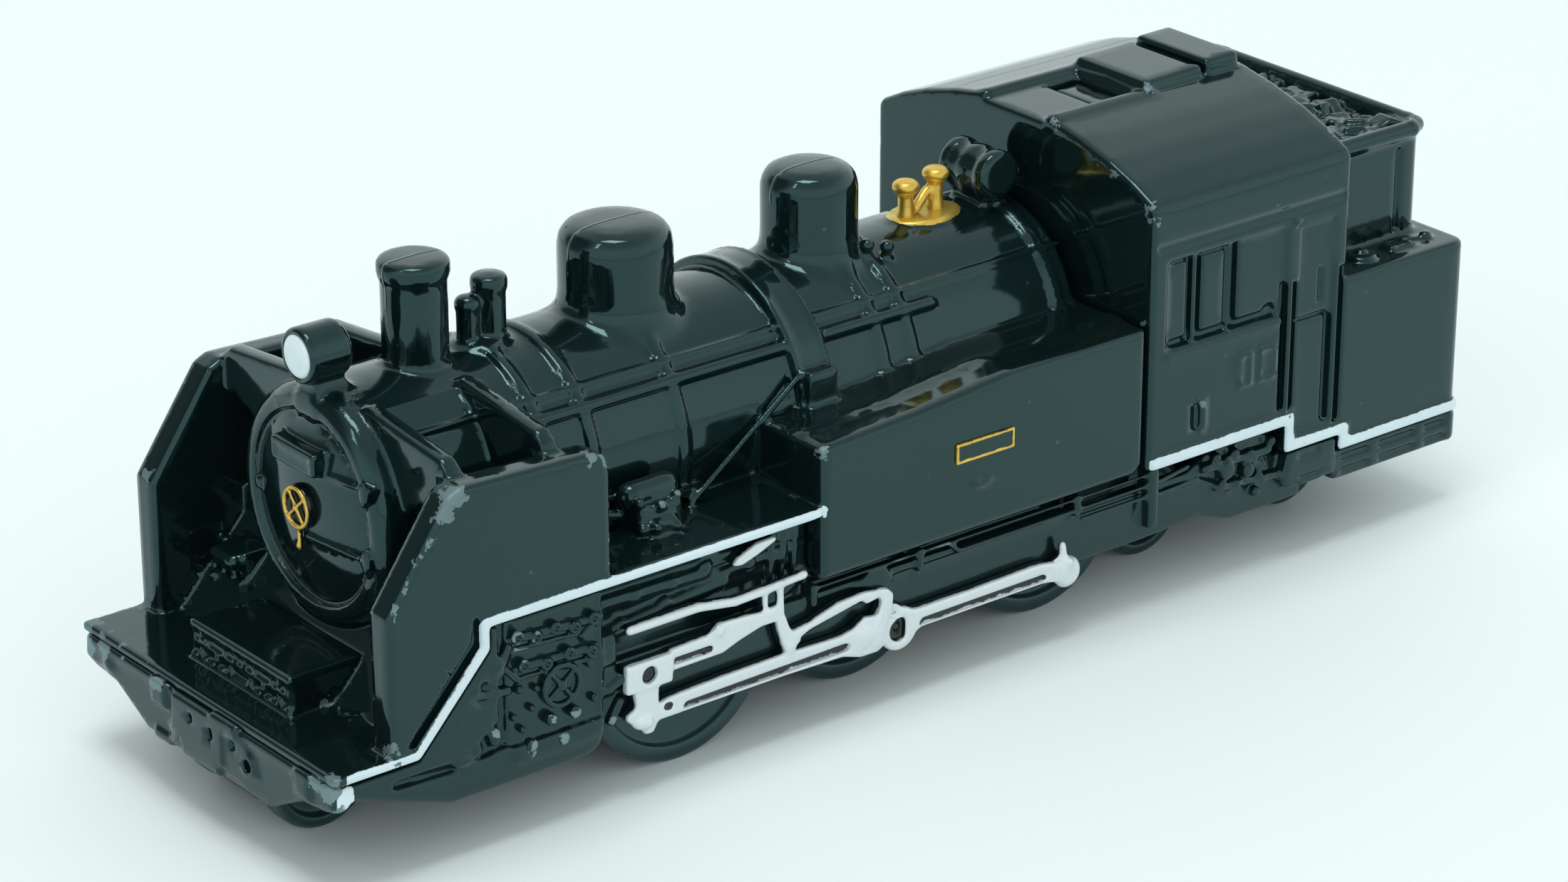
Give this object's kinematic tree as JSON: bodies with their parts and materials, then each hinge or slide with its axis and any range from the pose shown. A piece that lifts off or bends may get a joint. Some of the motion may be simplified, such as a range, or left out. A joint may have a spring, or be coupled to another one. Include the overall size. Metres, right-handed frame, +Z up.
{
  "type": "toy tank locomotive",
  "caption": "Pocket die-cast toy steam tank engine with smoke deflectors, side tanks, cab and bunker, silver rod gear relief and free-rolling wheelsets.",
  "frame": {"origin": "centre of the overall box, on the table under the wheels", "axes": "+X forwards to the chimney end, +Y the engine's left side, +Z up"},
  "size_m": [0.078, 0.0234, 0.0272],
  "materials": {
    "casting_paint": "thick gloss black paint",
    "frame_black": "moulded black plastic, slight gloss",
    "wheel_black": "moulded black plastic, satin",
    "rod_silver": "silver paint over the relief, satin",
    "steel": "plain steel"
  },
  "bodies": {
    "chassis": {"boiler_casting": "casting_paint", "cab_casting": "casting_paint", "underframe": "frame_black", "keeper_plate": "frame_black", "screw_front": "steel", "screw_rear": "steel", "rod_gear_left": "rod_silver", "rod_gear_right": "rod_silver"},
    "wheelset_pony": {"axle_pony": "steel", "wheel_pony_left": "wheel_black", "wheel_pony_right": "wheel_black"},
    "wheelset_driver1": {"axle_driver1": "steel", "wheel_driver1_left": "wheel_black", "wheel_driver1_right": "wheel_black"},
    "wheelset_driver2": {"axle_driver2": "steel", "wheel_driver2_left": "wheel_black", "wheel_driver2_right": "wheel_black"},
    "wheelset_driver3": {"axle_driver3": "steel", "wheel_driver3_left": "wheel_black", "wheel_driver3_right": "wheel_black"},
    "wheelset_trailing1": {"axle_trailing1": "steel", "wheel_trailing1_left": "wheel_black", "wheel_trailing1_right": "wheel_black"},
    "wheelset_trailing2": {"axle_trailing2": "steel", "wheel_trailing2_left": "wheel_black", "wheel_trailing2_right": "wheel_black"}
  },
  "joints": [
    {"name": "roll_pony", "type": "hinge", "parent": "chassis", "child": "wheelset_pony", "pos_m": [0.03455, 0, 0.003], "axis": [0, 1, 0], "continuous": true},
    {"name": "roll_driver1", "type": "hinge", "parent": "chassis", "child": "wheelset_driver1", "pos_m": [0.01615, 0, 0.0058], "axis": [0, 1, 0], "continuous": true},
    {"name": "roll_driver2", "type": "hinge", "parent": "chassis", "child": "wheelset_driver2", "pos_m": [0.0031, 0, 0.0058], "axis": [0, 1, 0], "continuous": true},
    {"name": "roll_driver3", "type": "hinge", "parent": "chassis", "child": "wheelset_driver3", "pos_m": [-0.0101, 0, 0.0058], "axis": [0, 1, 0], "continuous": true},
    {"name": "roll_trailing1", "type": "hinge", "parent": "chassis", "child": "wheelset_trailing1", "pos_m": [-0.01955, 0, 0.003], "axis": [0, 1, 0], "continuous": true},
    {"name": "roll_trailing2", "type": "hinge", "parent": "chassis", "child": "wheelset_trailing2", "pos_m": [-0.03075, 0, 0.003], "axis": [0, 1, 0], "continuous": true}
  ]
}
